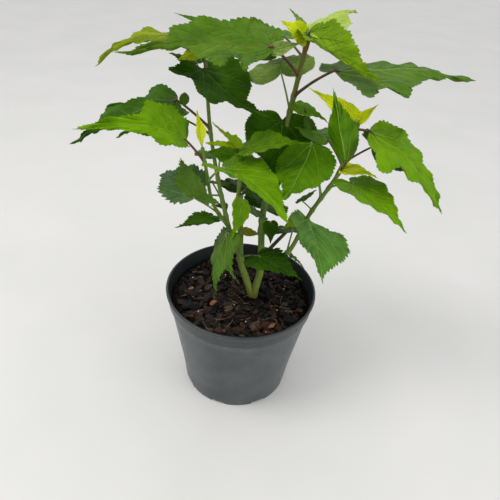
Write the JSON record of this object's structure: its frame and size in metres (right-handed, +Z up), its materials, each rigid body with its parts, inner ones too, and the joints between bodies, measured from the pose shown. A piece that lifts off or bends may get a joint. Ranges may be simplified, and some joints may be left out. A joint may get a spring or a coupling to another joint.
{
  "type": "potted hibiscus plant",
  "caption": "Young hibiscus with lobed and heart-shaped leaves on branching green stems, growing in a round tapered nursery pot of bark-mulched compost.",
  "frame": {"origin": "middle of the pot's flat underside", "axes": "+Z up, +X to the right and -Y towards the viewer of the side that is seen"},
  "size_m": [0.3749, 0.2075, 0.4238],
  "materials": {
    "pot": "satin moulded",
    "compost": "rough",
    "stem": "satin",
    "bough": "satin",
    "leaf": "satin"
  },
  "bodies": {
    "root": {"pot": "pot", "compost": "compost", "stem_left": "stem", "stem_right": "stem", "bough_tall_left": "bough", "bough_low_left": "bough", "bough_low_right": "bough", "bough_stub": "bough", "foliage_left": "leaf", "leaf_left_1": "leaf", "leaf_left_2": "leaf", "leaf_left_3": "leaf", "leaf_left_4": "leaf", "foliage_right": "leaf", "leaf_right_1": "leaf", "leaf_right_2": "leaf", "leaf_right_3": "leaf", "leaf_right_4": "leaf", "leaf_right_5": "leaf", "leaf_right_6": "leaf", "leaf_right_7": "leaf", "leaf_right_8": "leaf", "foliage_tall_left": "leaf", "leaf_tall_left_1": "leaf", "leaf_tall_left_2": "leaf", "leaf_tall_left_3": "leaf", "leaf_tall_left_4": "leaf", "foliage_low_left": "leaf", "leaf_low_left_1": "leaf", "leaf_low_left_2": "leaf", "foliage_low_right": "leaf", "leaf_low_right_1": "leaf", "leaf_low_right_2": "leaf", "leaf_low_right_3": "leaf", "leaf_low_right_4": "leaf", "leaf_low_right_5": "leaf"}
  },
  "joints": []
}
